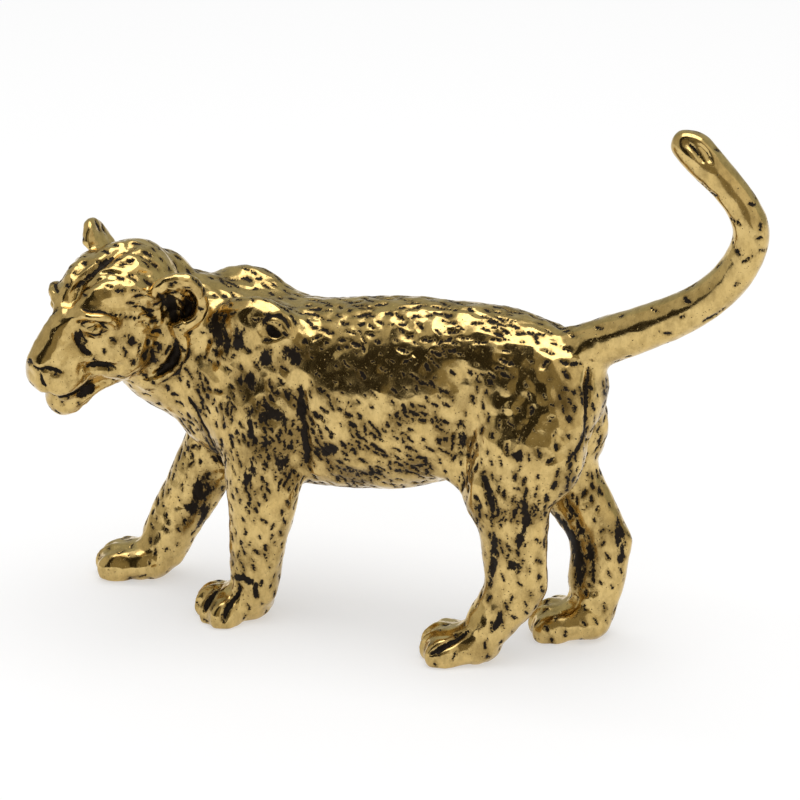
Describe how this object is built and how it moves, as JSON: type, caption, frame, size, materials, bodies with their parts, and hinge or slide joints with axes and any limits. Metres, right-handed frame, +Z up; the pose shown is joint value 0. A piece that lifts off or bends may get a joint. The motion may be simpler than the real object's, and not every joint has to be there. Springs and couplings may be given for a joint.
{
  "type": "lioness figurine",
  "caption": "Small solid cast brass lioness walking with her head turned to her left and her tail curled up, with a tooled coat and dark patina.",
  "frame": {"origin": "on the ground under the middle of the casting", "axes": "+Z up, -X the way she walks, -Y her left side, to which her head is turned"},
  "size_m": [0.0668, 0.0222, 0.0511],
  "materials": {
    "aged_brass": "polished cast brass, with brown-black patina left in the tool marks and hollows"
  },
  "bodies": {
    "root": {"lioness": "aged_brass"}
  },
  "joints": []
}
